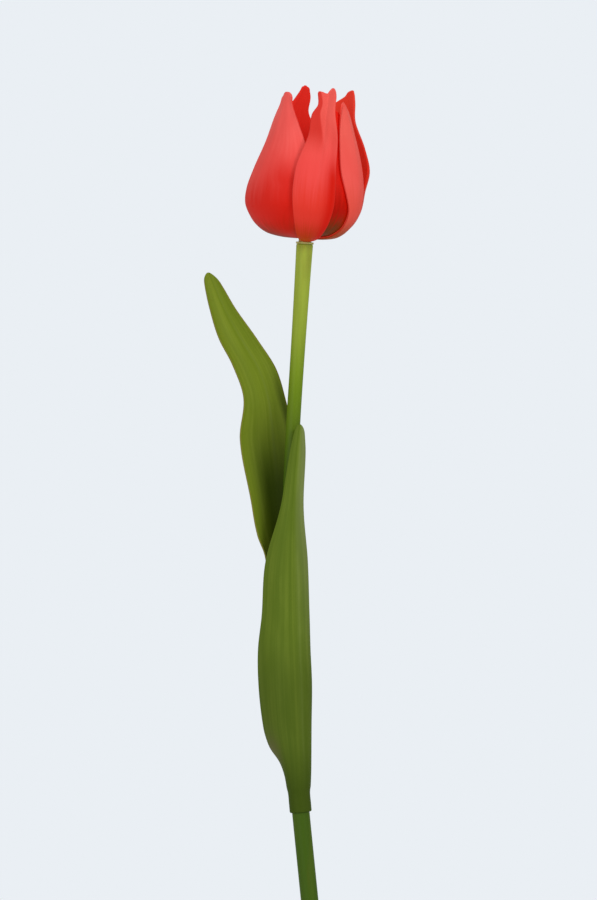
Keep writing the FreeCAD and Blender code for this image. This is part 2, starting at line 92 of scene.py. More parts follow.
# The petals lie in layers, one wall and a gap apart, with the claws between the flange and the cap.
PETAL_THICKNESS = 0.9 * MM
LAYER_STEP = 1.2 * MM
LAYERS = 3
CLAW_RISE = SEAT_GAP + FLANGE_HEIGHT + CLAW_GAP
CAP_BASE = CLAW_RISE + (LAYERS - 1) * LAYER_STEP + PETAL_THICKNESS + CLAW_GAP
CAP_TOP = CAP_BASE + CAP_HEIGHT
HEAD_RADIUS = 25.5 * MM
HEAD_HEIGHT = 64 * MM
CLAW_HALF_WIDTH = 1.1 * MM

# Faces across and along.
PETAL_GRID = (40, 80)
LEAF_GRID = (48, 150)

# A petal is never flatter across than a ring of this many head radii.
FLATTEST_SHARE = 2.4

# A petal's keel and the ripple of its rims grow from nothing at GROW_FROM_SHARE of its length to full after
# GROW_OVER_SHARE more. The ripple turns by RIPPLE_TURN towards either rim and drifts along the petal.
GROW_FROM_SHARE = 0.3
GROW_OVER_SHARE = 0.5
KEEL_WIDTH = 1.3 * MM
RIPPLE_HEIGHT = 0.18 * MM
RIPPLE_TURN = 3 * math.pi
RIPPLE_DRIFT = 5

# Each petal: the node it stands for, its layer, its azimuth at the claw (0 is the front, 90 the right), how
# round its left and right halves are against the bulb, its crest, its keel in mm and its stations. A crest is
# how far the tip goes on past the last station, in mm: in the middle of a round tip, or at places across it.
# A station has the height in head heights, the distance from the head's axis in head radii, the azimuth, and
# the half widths to the left and right in head radii.
Petal = namedtuple("Petal", "node layer claw rounds crest keel stations")
PETALS = {
    "front_petal": Petal(
        node="outer_petal_1", layer=0, claw=5, rounds=(0.6, 0.6),
        crest=(
            (-1, 1.2), (-0.85, 2.0), (-0.5, 1.6), (-0.06, 0.7),
            (0.35, 2.6), (0.7, 4.0), (0.9, 3.6), (1, 2.2),
        ),
        keel=0.7,
        stations=(
            (0.002, 0.36, 5, 0.12, 0.12),
            (0.023, 0.635, 5, 0.2, 0.2),
            (0.096, 0.89, 5, 0.27, 0.3),
            (0.215, 1.055, 5, 0.33, 0.36),
            (0.355, 1.065, 6, 0.36, 0.35),
            (0.51, 0.95, 9, 0.35, 0.3),
            (0.69, 0.787, 14, 0.24, 0.26),
            (0.825, 0.68, 17, 0.215, 0.185),
            (0.885, 0.628, 20, 0.145, 0.16),
            (0.95, 0.562, 23, 0.155, 0.175),
        ),
    ),
    "right_petal": Petal(
        node="outer_petal_2", layer=1, claw=80, rounds=(0.6, 0.6), crest=1.6, keel=0.3,
        stations=(
            (0.002, 0.32, 75, 0.11, 0.11),
            (0.021, 0.56, 68, 0.14, 0.13),
            (0.086, 0.79, 61, 0.1, 0.18),
            (0.192, 0.965, 58, 0.15, 0.28),
            (0.318, 1.015, 57, 0.26, 0.38),
            (0.457, 0.98, 58, 0.34, 0.36),
            (0.612, 0.875, 60, 0.32, 0.33),
            (0.761, 0.745, 62, 0.24, 0.25),
            (0.856, 0.655, 63, 0.14, 0.16),
            (0.905, 0.595, 64, 0.05, 0.05),
        ),
    ),
    "left_petal": Petal(
        node="outer_petal_3", layer=1, claw=-57, rounds=(1.0, 0.85),
        crest=((-1, 0.6), (-0.6, 2.3), (0, 2.7), (0.6, 2.3), (1, 0.6)),
        keel=0.2,
        stations=(
            (0.002, 0.35, -57, 0.26, 0.36),
            (0.022, 0.615, -57, 0.44, 0.62),
            (0.089, 0.865, -57, 0.63, 0.82),
            (0.2, 1.045, -57, 0.76, 0.92),
            (0.33, 1.055, -57, 0.79, 0.88),
            (0.48, 0.945, -57, 0.73, 0.74),
            (0.642, 0.795, -57, 0.6, 0.58),
            (0.79, 0.68, -58, 0.37, 0.36),
            (0.888, 0.6, -61, 0.18, 0.2),
            (0.928, 0.575, -66, 0.16, 0.19),
        ),
    ),
    "gap_petal": Petal(
        node="inner_petal_1", layer=2, claw=40, rounds=(0.8, 0.8), crest=1.2, keel=0.2,
        stations=(
            (0.002, 0.33, 40, 0.16, 0.2),
            (0.022, 0.58, 40, 0.3, 0.36),
            (0.09, 0.81, 40, 0.44, 0.54),
            (0.2, 0.97, 40, 0.52, 0.64),
            (0.33, 0.985, 40, 0.54, 0.66),
            (0.47, 0.92, 41, 0.52, 0.6),
            (0.62, 0.81, 42, 0.44, 0.5),
            (0.75, 0.7, 43, 0.3, 0.34),
            (0.83, 0.625, 44, 0.17, 0.18),
            (0.86, 0.595, 44, 0.06, 0.06),
        ),
    ),
    "back_right_petal": Petal(
        node="inner_petal_2", layer=2, claw=106, rounds=(0.9, 0.8), crest=2.8, keel=0.2,
        stations=(
            (0.002, 0.333, 106, 0.14, 0.19),
            (0.022, 0.588, 106, 0.24, 0.32),
            (0.092, 0.824, 107, 0.35, 0.45),
            (0.205, 0.976, 108, 0.42, 0.55),
            (0.34, 1.03, 108, 0.43, 0.57),
            (0.49, 1.085, 110, 0.45, 0.52),
            (0.655, 0.965, 113, 0.36, 0.6),
            (0.813, 0.8, 117, 0.22, 0.55),
            (0.915, 0.79, 120, 0.21, 0.35),
            (0.965, 0.805, 120, 0.1, 0.13),
        ),
    ),
    "back_left_petal": Petal(
        node="inner_petal_3", layer=2, claw=-160, rounds=(1.0, 1.0), crest=1.4, keel=0.2,
        stations=(
            (0.002, 0.333, -160, 0.23, 0.25),
            (0.023, 0.588, -160, 0.39, 0.43),
            (0.097, 0.824, -160, 0.56, 0.61),
            (0.217, 0.976, -160, 0.68, 0.74),
            (0.36, 0.99, -160, 0.7, 0.765),
            (0.518, 0.93, -160, 0.63, 0.69),
            (0.693, 0.79, -159, 0.45, 0.56),
            (0.861, 0.67, -158, 0.15, 0.3),
            (0.969, 0.58, -158, 0.12, 0.12),
            (1.02, 0.535, -158, 0.06, 0.05),
        ),
    ),
}

# A leaf's sleeve is a full ring, whose outside lies SLEEVE_RISE off the stem. Its tip is round, LEAF_CREST
# longer in the middle than at the sides.
LEAF_REACH = 10 * MM
LEAF_THICKNESS = 0.8 * MM
LEAF_CREST = 3.5 * MM
SLEEVE_LENGTH = 8 * MM
SLEEVE_RISE = 0.95 * MM
FULL_SPREAD = 180
FRONT = 0
BACK = 180

# A leaf's stations have the share of its length, the middle's place to the right of and behind the stem's
# centre, then the cup's radius and its spread in degrees to the left and to the right, seen from the leaf's
# own side. Places and radii are shares of the leaf reach.
LOWER_LEAF_SHARES = (
    (0.06, (0.0, -0.5), (0.49, 136), (0.5, 136)),
    (0.1, (0.01, -0.54), (0.57, 125), (0.57, 130)),
    (0.135, (0.04, -0.57), (0.78, 99), (0.59, 122)),
    (0.176, (0.06, -0.59), (1.23, 75), (0.62, 112)),
    (0.22, (0.07, -0.6), (1.48, 68), (0.66, 108)),
    (0.325, (0.1, -0.62), (1.7, 63), (0.74, 102)),
    (0.42, (0.1, -0.63), (1.65, 64), (0.735, 100)),
    (0.51, (0.1, -0.64), (1.47, 61), (0.73, 98)),
    (0.647, (0.1, -0.64), (1.35, 55), (0.675, 92)),
    (0.789, (0.12, -0.64), (0.7, 47), (0.46, 80)),
    (0.928, (0.22, -0.67), (0.45, 43), (0.42, 60)),
    (0.975, (0.26, -0.68), (0.34, 40), (0.34, 48)),
    (1.0, (0.28, -0.68), (0.28, 36), (0.28, 40)),
)
UPPER_LEAF_SHARES = (
    (0.113, (0.0, 0.54), (0.56, 76), (0.56, 76)),
    (0.251, (-0.12, 0.62), (0.7, 59), (0.77, 62)),
    (0.354, (-0.32, 0.68), (1.0, 47), (0.9, 53)),
    (0.4, (-0.43, 0.715), (1.35, 40), (1.16, 53)),
    (0.481, (-0.64, 0.78), (2.0, 30), (1.42, 46)),
    (0.619, (-1.03, 0.88), (2.4, 30), (1.7, 44)),
    (0.713, (-1.27, 0.95), (2.2, 25), (1.3, 43)),
    (0.787, (-1.81, 1.02), (2.2, 26), (1.2, 48)),
    (0.849, (-2.55, 1.05), (1.9, 28), (1.1, 48)),
    (0.917, (-3.27, 1.07), (1.2, 31), (0.9, 38)),
    (0.971, (-3.73, 1.1), (0.8, 31), (0.7, 31)),
    (1.0, (-3.94, 1.1), (0.5, 28), (0.5, 26)),
)

# Each leaf: the node it stands for, where its sleeve starts on the stem, its length, side and stations.
Leaf = namedtuple("Leaf", "node start length side stations")
LEAVES = {
    "lower_leaf_blade": Leaf("lower_leaf", 147 * MM, 162 * MM, FRONT, LOWER_LEAF_SHARES),
    "upper_leaf_blade": Leaf("upper_leaf", 190 * MM, 180 * MM, BACK, UPPER_LEAF_SHARES),
}

# The pistil's rings, like the stamens', are pairs of a radius and a height above the hub's cap. Its lobes are
# pulled out of the faces between STIGMA_FOOT and STIGMA_TOP.
PISTIL_RINGS = (
    (0.7 * MM, -1.5 * MM),
    (0.78 * MM, -1.4 * MM),
    (0.78 * MM, 0),
    (1.15 * MM, 0.1 * MM),
    (1.5 * MM, 4 * MM),
    (1.6 * MM, 7 * MM),
    (1.4 * MM, 12 * MM),
    (1.12 * MM, 15 * MM),
    (1.2 * MM, 16 * MM),
    (1.0 * MM, 17 * MM),
)
PISTIL_SIDES = 24
STIGMA_LOBES = 3
STIGMA_FOOT = 15 * MM
STIGMA_TOP = 16.9 * MM
STIGMA_FACING = 0.8
LOBE_STEPS = 2
LOBE_STEP = 0.6 * MM
LOBE_RISE = 0.15 * MM

STAMENS = 6
FIRST_STAMEN_AZIMUTH = 90
STAMEN_RING_RADIUS = 2.6 * MM
STAMEN_LEAN = math.radians(17)
STAMEN_SIDES = 16
THREAD_RINGS = (
    (0.45 * MM, -1.3 * MM),
    (0.45 * MM, 6 * MM),
    (0.4 * MM, 9.3 * MM),
)
ANTHER_RINGS = (
    (0.3 * MM, 8.95 * MM),
    (0.75 * MM, 9.2 * MM),
    (0.93 * MM, 10.2 * MM),
    (0.9 * MM, 13.5 * MM),
    (0.75 * MM, 15.3 * MM),
    (0.3 * MM, 15.95 * MM),
)
ANTHER_DEPTH_SHARE = 0.8

# Points of a sheet that lie closer than this are merged.
WELD = 0.02 * MM

# The camera looks straight at the flower from the front. Each lamp has a place, a width and a power.
VIEW_ACROSS = -9.67 * MM
VIEW_LEVEL = 297.5 * MM
VIEW_HEIGHT = 375 * MM
VIEW_DISTANCE = 2.5
VIEW_END = 50
SENSOR_HEIGHT = 36
LAMP_LEVEL = 330 * MM
LAMPS = {
    "key": ((1.3, -1.5, 1.3), 0.7, 17),
    "fill": ((-1.3, -1.6, 0.9), 1.6, 14),
    "top": ((0.1, 0.3, 2.1), 1.2, 6),
}
ROOM_LIGHT = 0.45
FLOOR_RADIUS = 1.2
FLOOR_SIDES = 96
FLOOR_DROP = 1 * MM


def shifted(x, y, z):
    return Matrix.Translation((x, y, z))


def turned(axis, angle):
    return Matrix.Rotation(angle, 4, axis)


def facing(azimuth):
    """Turn so that x points out at this azimuth, where 0 is the front and 90 the right."""
    return turned("Z", math.radians(azimuth - 90))


def spine_frame(along):
    """The frame on the stem's centre line at this distance from the foot, with z up the stem."""
    at = Matrix.Identity(4)
    left = along
    for length, turn in SPINE:
        step = min(left, length)
        if turn:
            radius = length / turn
            at = at @ shifted(radius, 0, 0) @ turned("Y", step / length * turn) @ shifted(-radius, 0, 0)
        else:
            at = at @ shifted(0, 0, step)
        left -= step
        if left <= 0:
            break
    return at


HEAD_FRAME = spine_frame(SPINE_LENGTH)


def stem_radius(along):
    """Full below the taper, slender at the bow's end and wider again towards the top."""
    neck_start = SPINE_LENGTH - NECK_LENGTH
    taper_start = neck_start - TAPER_LENGTH
    if along <= taper_start:
        return STEM_RADIUS
    if along <= neck_start:
        share = (along - taper_start) / TAPER_LENGTH
        return STEM_RADIUS + (SLENDER_RADIUS - STEM_RADIUS) * (1 - math.cos(math.pi * share)) / 2
    share = (along - neck_start) / NECK_LENGTH
    return SLENDER_RADIUS + (TOP_RADIUS - SLENDER_RADIUS) * share**2


def smooth(knots, values, at):
    """A smooth curve through the values at the knots."""
    last = len(knots) - 1
    index = min(max(bisect_right(knots, at) - 1, 0), last - 1)
    span = knots[index + 1] - knots[index]
    share = min(max((at - knots[index]) / span, 0), 1)

    def slope(place):
        low = max(place - 1, 0)
        high = min(place + 1, last)
        return (values[high] - values[low]) / (knots[high] - knots[low])

    start = slope(index) * span
    stop = slope(index + 1) * span
    rise = values[index + 1] - values[index]
    bend = start + stop - 2 * rise
    return values[index] + share * (start + share * (3 * rise - 2 * start - stop + share * bend))


def hill(distance, width):
    """A soft hump, 1 in the middle and near 0 beyond twice the width."""
    return math.exp(-((distance / width) ** 2))


def select_nothing():
    bpy.ops.object.select_all(action="DESELECT")


def apply_modifier(piece, kind, **settings):
    bpy.context.view_layer.objects.active = piece
    modifier = piece.modifiers.new(kind.title(), kind)
    for name, value in settings.items():
        setattr(modifier, name, value)
    bpy.ops.object.modifier_apply(modifier=modifier.name)


def round_edges(piece, width, segments, degrees):
    angle = math.radians(degrees)
    apply_modifier(piece, "BEVEL", width=width, segments=segments, limit_method="ANGLE", angle_limit=angle)


def named(name):
    """The piece that was just added, under this name."""
    piece = bpy.context.object
    piece.name = name
    piece.data.name = name
    return piece


def disc(name, sides, radius, height):
    select_nothing()
    place = (0, 0, height)
    bpy.ops.mesh.primitive_circle_add(vertices=sides, radius=radius, fill_type="NGON", location=place)
    return named(name)


def sheet_of(name, columns, rows, place):
    """A grid whose points go where place(across, along) says: across is -1 to 1, along 0 to 1."""
    select_nothing()
    bpy.ops.mesh.primitive_grid_add(x_subdivisions=columns, y_subdivisions=rows, size=2, calc_uvs=True)
    piece = named(name)
    for vertex in piece.data.vertices:
        vertex.co = place(vertex.co.x, (vertex.co.y + 1) / 2)
    bpy.ops.object.mode_set(mode="EDIT")
    bpy.ops.mesh.select_all(action="SELECT")
    bpy.ops.mesh.remove_doubles(threshold=WELD)
    bpy.ops.object.mode_set(mode="OBJECT")
    return piece


def mark_sides(piece, thickness):
    """Give the sheet its thickness inwards and note on each point whether it is on the outer side."""
    count = len(piece.data.vertices)
    apply_modifier(piece, "SOLIDIFY", thickness=thickness, offset=-1, use_rim=True)
    outer = piece.data.attributes.new("outer", "FLOAT", "POINT")
    for index, item in enumerate(outer.data):
        item.value = 1.0 if index < count else 0.0


def finish(piece, body, paint, node):
    """Shade the piece smooth, paint it and put it on its body in place of the node."""
    for face in piece.data.polygons:
        face.use_smooth = True
    piece.data.materials.append(paint)
    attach(piece, body)
    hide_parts(node)


class Value:
    """A number that varies over a surface. Sums and products of it add Math nodes."""

    def __init__(self, paint, socket):
        self.paint = paint
        self.socket = socket

    def math(self, operation, *others):
        inputs = dict(enumerate([self, *others]))
        return Value(self.paint, self.paint.node("ShaderNodeMath", {"operation": operation}, inputs))

    def __add__(self, other):
        return self.math("ADD", other)

    __radd__ = __add__

    def __mul__(self, other):
        return self.math("MULTIPLY", other)

    __rmul__ = __mul__

    def __sub__(self, other):
        return self.math("SUBTRACT", other)

    def __rsub__(self, other):
        return -1 * self + other

    def __truediv__(self, other):
        return self.math("DIVIDE", other)

    def __pow__(self, other):
        return self.math("POWER", other)

    def near(self, middle, width):
        """1 in the middle, falling softly on both sides."""
        away = (self - middle) / width
        return (away * away + 1) ** -2

    def between(self, low, high):
        """0 at low, 1 at high, eased in between."""
        settings = {"interpolation_type": "SMOOTHSTEP"}
        inputs = {"Value": self, "From Min": low, "From Max": high, "To Min": 0.0, "To Max": 1.0}
        return Value(self.paint, self.paint.node("ShaderNodeMapRange", settings, inputs))


# The sockets of a Mix node that are for colours, by number, because others have the same names.
MIX_SHARE = 0
MIX_FIRST = 6
MIX_SECOND = 7
MIX_RESULT = 2


class Paint:
    """One procedural material, built up node by node."""

    def __init__(self, name):
        self.material = bpy.data.materials.new(name)
        self.material.use_nodes = True
        self.tree = self.material.node_tree
        self.tree.nodes.clear()

    def node(self, kind, settings=None, inputs=None, output=0):
        """Add a node, set it up, feed its sockets and return one of its outputs, if it has any."""
        node = self.tree.nodes.new(kind)
        for name, value in (settings or {}).items():
            setattr(node, name, value)
        for name, value in (inputs or {}).items():
            socket = node.inputs[name]
            source = value.socket if isinstance(value, Value) else value
            if isinstance(source, bpy.types.NodeSocket):
                self.tree.links.new(source, socket)
            else:
                socket.default_value = source
        return node.outputs[output] if node.outputs else None

    def attribute(self, name):
        settings = {"attribute_name": name, "attribute_type": "GEOMETRY"}
        return Value(self, self.node("ShaderNodeAttribute", settings, output="Fac"))

    def place(self):
        """Across and along the piece, both from 0 to 1."""
        uv = self.node("ShaderNodeTexCoord", output="UV")
        return self.part_of(uv, "X"), self.part_of(uv, "Y")

    def height(self):
        """Height above the foot in metres."""
        return self.part_of(self.node("ShaderNodeTexCoord", output="Object"), "Z")

    def part_of(self, vector, axis):
        return Value(self, self.node("ShaderNodeSeparateXYZ", inputs={"Vector": vector}, output=axis))

    def noise(self, scale, stretch, detail, space="Object"):
        at = self.node("ShaderNodeTexCoord", output=space)
        at = self.node("ShaderNodeMapping", inputs={"Vector": at, "Scale": stretch})
        inputs = {"Vector": at, "Scale": scale, "Detail": detail}
        return Value(self, self.node("ShaderNodeTexNoise", inputs=inputs, output="Fac"))

    def mix(self, share, first, second):
        """A colour between two others."""
        settings = {"data_type": "RGBA", "clamp_factor": True}
        inputs = {MIX_SHARE: share, MIX_FIRST: first, MIX_SECOND: second}
        return self.node("ShaderNodeMix", settings, inputs, MIX_RESULT)

    def bump(self, height, distance, strength):
        inputs = {"Height": height, "Distance": distance, "Strength": strength}
        return self.node("ShaderNodeBump", inputs=inputs)

    def done(self, sockets):
        """Make the shader from these sockets and return the finished material."""
        shader = self.node("ShaderNodeBsdfPrincipled", inputs=sockets)
        self.node("ShaderNodeOutputMaterial", inputs={"Surface": shader})
        return self.material


def srgb(red, green, blue):
    """A colour given as it shows on a screen, from 0 to 255."""
    channels = []
    for channel in (red, green, blue):
        share = channel / 255
        channels.append(share / 12.92 if share <= 0.04045 else ((share + 0.055) / 1.055) ** 2.4)
    return (*channels, 1.0)


# Each petal's colours: outside at the base, low, in the middle and high, then inside low and high, then how
# far up the brown base goes, then the place, width and strength of the darker stripe of painted shadow that
# runs up it.
PetalColors = namedtuple("PetalColors", "outside inside brown_end band")
# Besides the petals' red, these colours carry painted light and shade, so they differ from petal to petal:
# the gap petal, which lies in its neighbours' shadow, is painted darkest.
PETAL_COLORS = {
    "front_petal": PetalColors(
        outside=(srgb(204, 58, 2), srgb(238, 62, 48), srgb(246, 80, 75), srgb(246, 95, 86)),
        inside=(srgb(180, 14, 4), srgb(214, 44, 36)),
        brown_end=0.32,
        band=(0.9, 0.24, 1.0),
    ),
    "right_petal": PetalColors(
        outside=(srgb(168, 74, 12), srgb(242, 86, 72), srgb(252, 96, 88), srgb(250, 100, 90)),
        inside=(srgb(230, 60, 46), srgb(238, 80, 70)),
        brown_end=0.33,
        band=(0.98, 0.1, 0.2),
    ),
    "left_petal": PetalColors(
        outside=(srgb(150, 44, 4), srgb(226, 44, 34), srgb(244, 82, 76), srgb(255, 102, 96)),
        inside=(srgb(184, 18, 6), srgb(216, 44, 36)),
        brown_end=0.3,
        band=(0.78, 0.25, 0.8),
    ),
    "gap_petal": PetalColors(
        outside=(srgb(112, 54, 2), srgb(190, 16, 0), srgb(230, 30, 16), srgb(236, 42, 28)),
        inside=(srgb(170, 12, 2), srgb(206, 28, 16)),
        brown_end=0.36,
        band=(0.98, 0.1, 0.3),
    ),
    "back_right_petal": PetalColors(
        outside=(srgb(140, 54, 4), srgb(224, 46, 28), srgb(238, 66, 50), srgb(244, 84, 72)),
        inside=(srgb(214, 34, 14), srgb(214, 56, 40)),
        brown_end=0.34,
        band=(0.02, 0.1, 0.3),
    ),
    "back_left_petal": PetalColors(
        outside=(srgb(140, 54, 4), srgb(216, 40, 28), srgb(236, 70, 60), srgb(244, 86, 78)),
        inside=(srgb(170, 8, 2), srgb(208, 43, 33)),
        brown_end=0.34,
        band=(0.5, 0.05, 0.3),
    ),
}

# The petals' patches, painted shadow stripes and rims.
PATCH_RED = srgb(222, 40, 28)
SHADE_BAND_RED = srgb(220, 26, 10)
RIM_RED = srgb(196, 40, 26)
BLACK = srgb(0, 0, 0)

# One petal's tip is folded along a slanting line, and the part to the left of the fold, which turns away from
# the light, is painted darker as shade.
FOLDED_PETAL = "front_petal"
FOLD_SHADE_RED = srgb(214, 46, 36)
FOLD_AT_TIP = 0.16
FOLD_SLANT = 1.33

# What a leaf's own greens are mixed with: the vein, a dusty side and the deep green below it, the dim inner
# side, the brown margin, and a dull stretch of rim low down.
VEIN_GREEN = srgb(122, 138, 62)
DUST_GREEN = srgb(150, 158, 108)
DEEP_GREEN = srgb(58, 74, 18)
DIM_GREEN = srgb(42, 57, 0)
RIM_BROWN = srgb(136, 116, 58)
RIM_GREY = srgb(102, 98, 60)

# The stem's green at the foot, then the heights between which each next one comes in. The darker greens lower
# down are partly the stem's own colour and partly painted shade.
STEM_FOOT_GREEN = srgb(64, 92, 10)
STEM_GREENS = (
    (285 * MM, 330 * MM, srgb(110, 138, 16)),
    (318 * MM, 360 * MM, srgb(154, 172, 56)),
    (355 * MM, 384 * MM, srgb(166, 184, 66)),
)
STREAK_GREEN = srgb(92, 110, 22)
STAIN_BROWN = srgb(104, 84, 30)


def petal_paint(name):
    """Darker and browner low down and paler above, partly as painted shade below and painted sheen above,
    with faint streaks lengthwise.
    """
    colors = PETAL_COLORS[name]
    base, low, middle, high = colors.outside
    inside_low, inside_high = colors.inside
    shade_band_place, shade_band_width, shade_band_strength = colors.band
    paint = Paint(name + "_red")
    across, along = paint.place()
    streaks = paint.noise(1.0, (26, 3, 1), 3.0, "UV")
    mottle = paint.noise(90, (1, 1, 0.5), 2.0)
    wander = along + (streaks - 0.5) * 0.22

    # Darker and browner low down and paler higher up: partly the petals' own colour, partly painted shade low
    # down and painted sheen higher up.
    skin = paint.mix(wander.between(colors.brown_end - 0.18, colors.brown_end), base, low)
    skin = paint.mix(wander.between(0.34, 0.58), skin, middle)
    skin = paint.mix(wander.between(0.58, 0.85), skin, high)
    skin = paint.mix(mottle.between(0.4, 0.8) * 0.22, skin, PATCH_RED)
    # Painted shadow: a darker stripe low down, where a neighbouring petal shades this one.
    low_down = 1 - along.between(0.5, 0.68)
    skin = paint.mix(across.near(shade_band_place, shade_band_width) * low_down * shade_band_strength, skin, SHADE_BAND_RED)
    # Painted shade on the part to the left of the fold.
    if name == FOLDED_PETAL:
        fold = FOLD_AT_TIP + (1 - along) * FOLD_SLANT
        shade_beside_fold = (1 - (across - fold).between(-0.05, 0.03)) * along.between(0.64, 0.8)
        skin = paint.mix(shade_beside_fold * 0.85, skin, FOLD_SHADE_RED)
    rim = (across - 0.5).math("ABSOLUTE").between(0.47, 0.5)
    skin = paint.mix(rim * 0.4, skin, RIM_RED)

    # The inner side glows faintly, because light comes through the petals.
    lining = paint.mix(wander.between(0.3, 0.95), inside_low, inside_high)
    outer = paint.attribute("outer")
    relief = streaks * 0.6 + mottle * 0.2
    return paint.done({
        "Base Color": paint.mix(outer, lining, skin),
        "Roughness": 0.5,
        "Specular IOR Level": 0.07,
        "Emission Color": paint.mix(outer, lining, BLACK),
        "Emission Strength": 0.3,
        "Normal": paint.bump(relief, distance=0.12 * MM, strength=0.6),
    })


def leaf_paint(name, dark, light, foot, foot_end, vein, dust, shade):
    """Streaks lengthwise, with a vein, a dusty side, painted shade on the inner side, a darker foot that can
    be painted shadow, and a brown margin.
    """
    paint = Paint(name)
    across, along = paint.place()
    fine = paint.noise(1.0, (70, 2.4, 1), 4.0, "UV")
    broad = paint.noise(1.0, (16, 1.6, 1), 2.0, "UV")
    patches = paint.noise(1.0, (5, 6, 1), 2.0, "UV")
    streaks = fine * 0.45 + broad * 0.55

    color = paint.mix(streaks.between(0.3, 0.72) * 0.7 + 0.1, dark, light)
    color = paint.mix(across.near(vein, 0.03) * 0.45, color, VEIN_GREEN)
    color = paint.mix(patches.between(0.35, 0.7) * 0.6, color, dark)
    dusty_side = across.between(0.5, 0.85) * along.between(0.3, 0.85)
    color = paint.mix(dusty_side * dust, color, DUST_GREEN)
    low_down = 1 - along.between(0.3, 0.5)
    color = paint.mix(low_down * dust, color, DEEP_GREEN)

    # The stem and the other leaf keep the light from the inner side, most of all low down and along one rim.
    inner = 1 - paint.attribute("outer")
    dim_side = (1 - along.between(0.5, 0.76)) * (1 - across.between(0.56, 0.98))
    dim_rim = (1 - along.between(0.7, 0.82)) * (1 - across.between(0.06, 0.26)) * 0.8
    color = paint.mix(dim_side.math("MAXIMUM", dim_rim) * inner * shade, color, DIM_GREEN)

    # A darker foot; on the upper leaf this is painted shadow of the lower leaf.
    color = paint.mix((1 - along.between(0.04, foot_end)) * 0.85, color, foot)
    margin = (across - 0.5).math("ABSOLUTE").between(0.485, 0.5)
    color = paint.mix(margin * 0.55, color, RIM_BROWN)
    dull_rim = (1 - across.between(0.12, 0.34)) * along.near(0.165, 0.05)
    color = paint.mix(dull_rim * dust * 1.8, color, RIM_GREY)
    return paint.done({
        "Base Color": color,
        "Roughness": 0.5,
        "Specular IOR Level": 0.06,
        "Normal": paint.bump(streaks, distance=0.12 * MM, strength=0.5),
    })


def stem_paint():
    """Greens that get paler and yellower towards the head, partly as painted shade lower down, with faint
    streaks and brown stains.
    """
    paint = Paint("stem_green")
    height = paint.height()
    streaks = paint.noise(420, (1, 1, 0.05), 3.0)
    stains = paint.noise(130, (1, 1, 0.12), 2.0)
    color = STEM_FOOT_GREEN
    for start, end, green in STEM_GREENS:
        color = paint.mix(height.between(start, end), color, green)
    color = paint.mix(streaks.between(0.4, 0.8) * 0.3, color, STREAK_GREEN)
    color = paint.mix(stains.between(0.6, 0.8) * 0.35, color, STAIN_BROWN)
    return paint.done({
        "Base Color": color,
        "Roughness": 0.48,
        "Specular IOR Level": 0.15,
        "Normal": paint.bump(streaks, distance=0.06 * MM, strength=0.5),
    })


def plain_paint(name, color, other, roughness, metallic=0.0):
    """A finish that varies a little between two colours."""
    paint = Paint(name)
    mottle = paint.noise(600, (1, 1, 0.4), 3.0)
    return paint.done({
        "Base Color": paint.mix(mottle.between(0.35, 0.7), color, other),
        "Roughness": roughness,
        "Metallic": metallic,
        "Specular IOR Level": 0.3,
        "Normal": paint.bump(mottle, distance=0.04 * MM, strength=0.5),
    })


def petal_line(petal):
    """The petal's middle line: distance along it, then radius, height, tilt and azimuth at each station."""
    inwards = petal.layer * LAYER_STEP
    outer = [(ROOT_RADIUS + CLAW_GAP, 0, petal.claw)]
    for height_share, radius_share, azimuth, *_ in petal.stations:
        outer.append((HEAD_RADIUS * radius_share, HEAD_HEIGHT * height_share, azimuth))
    line = [(outer[0][0], inwards, math.pi / 2, petal.claw)]
    for index in range(1, len(outer)):
        radius, height, azimuth = outer[index]
        before = outer[index - 1]
        after = outer[min(index + 1, len(outer) - 1)]
        tilt = math.atan2(after[0] - before[0], after[1] - before[1])
        line.append((radius - inwards * math.cos(tilt), height + inwards * math.sin(tilt), tilt, azimuth))
    knots = [0]
    for (radius, height, *_), (next_radius, next_height, *_) in zip(line, line[1:]):
        knots.append(knots[-1] + math.hypot(next_radius - radius, next_height - height))
    return knots, line


def crest_at(crest, across):
    """How far the tip goes on past the last station here."""
    if isinstance(crest, tuple):
        places, heights = zip(*crest)
        return smooth(places, heights, across) * MM
    return crest * math.sqrt(max(1 - across**2, 0)) * MM


def make_petal(name, paint):
    """A sheet along the petal's own line, cupped to the left and right, then given its thickness."""
    petal = PETALS[name]
    knots, line = petal_line(petal)
    columns = list(zip(*line))
    length = knots[-1]
    *_, left_shares, right_shares = zip(*petal.stations)
    halves = []
    for shares in (left_shares, right_shares):
        halves.append([CLAW_HALF_WIDTH] + [HEAD_RADIUS * share for share in shares])
    # How round a bulb of this radius and tilt is across the petal.
    bulbs = []
    for radius, height, tilt, azimuth in line:
        bulbs.append(radius / max(math.cos(tilt), radius / (FLATTEST_SHARE * HEAD_RADIUS)))

    def place(across, along):
        at = along * (length + crest_at(petal.crest, across))
        past = max(at - length, 0)
        radius, height, tilt, azimuth = (smooth(knots, column, at) for column in columns)
        radius += past * math.sin(tilt)
        height += past * math.cos(tilt)
        side = 1 if across > 0 else 0
        cup = smooth(knots, bulbs, at) * petal.rounds[side]
        half_width = smooth(knots, halves[side], at)
        angle = across * math.asin(min(half_width / cup, 1))
        grow = min(max(along - GROW_FROM_SHARE, 0) / GROW_OVER_SHARE, 1)
        keel = petal.keel * MM * hill(across * half_width, KEEL_WIDTH) * grow
        ripple = RIPPLE_HEIGHT * math.sin(RIPPLE_TURN * across + RIPPLE_DRIFT * along) * grow
        reach = cup + keel + ripple * across**2
        local = Vector((reach * math.cos(angle) - cup, reach * math.sin(angle), 0))
        station = facing(azimuth) @ shifted(radius, 0, CLAW_RISE + height) @ turned("Y", tilt)
        return HEAD_FRAME @ station @ local

    piece = sheet_of(name, *PETAL_GRID, place)
    mark_sides(piece, PETAL_THICKNESS)
    apply_modifier(piece, "SUBSURF", levels=1, render_levels=1)
    finish(piece, "head", paint, petal.node)


